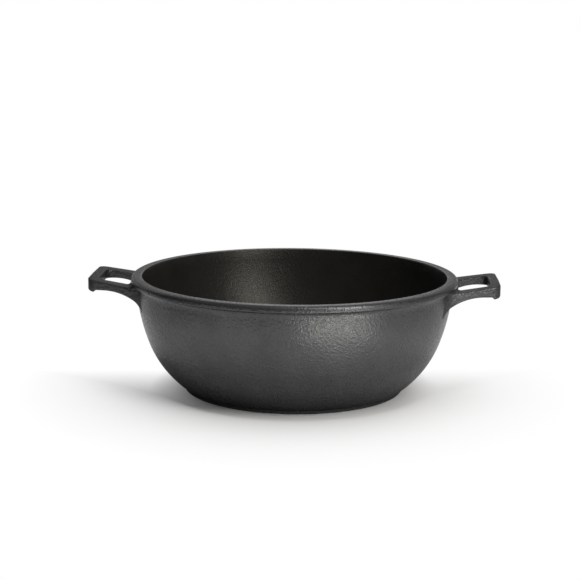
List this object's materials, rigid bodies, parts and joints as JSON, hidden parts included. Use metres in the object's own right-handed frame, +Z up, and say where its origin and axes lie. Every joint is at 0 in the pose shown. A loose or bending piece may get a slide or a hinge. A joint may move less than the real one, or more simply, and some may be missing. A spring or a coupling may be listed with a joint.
{
  "type": "saute pan",
  "caption": "Deep round cast pan with a curved wall, a flat rim with an outer band, small loop handles on opposite sides and a steel plate set in the base.",
  "frame": {"origin": "centre of the base, on the plane that the pan stands on", "axes": "+X through the middle of the right handle, +Z up out of the mouth, +Y to the back"},
  "size_m": [0.3496, 0.28, 0.0985],
  "materials": {
    "casting": "dark grey, fine-grained coat over cast metal",
    "handle_casting": "dark grey, fine-grained coat over cast metal",
    "plate": "turned"
  },
  "bodies": {
    "root": {"bowl": "casting", "left_handle": "handle_casting", "right_handle": "handle_casting", "induction_plate": "plate"}
  },
  "joints": []
}
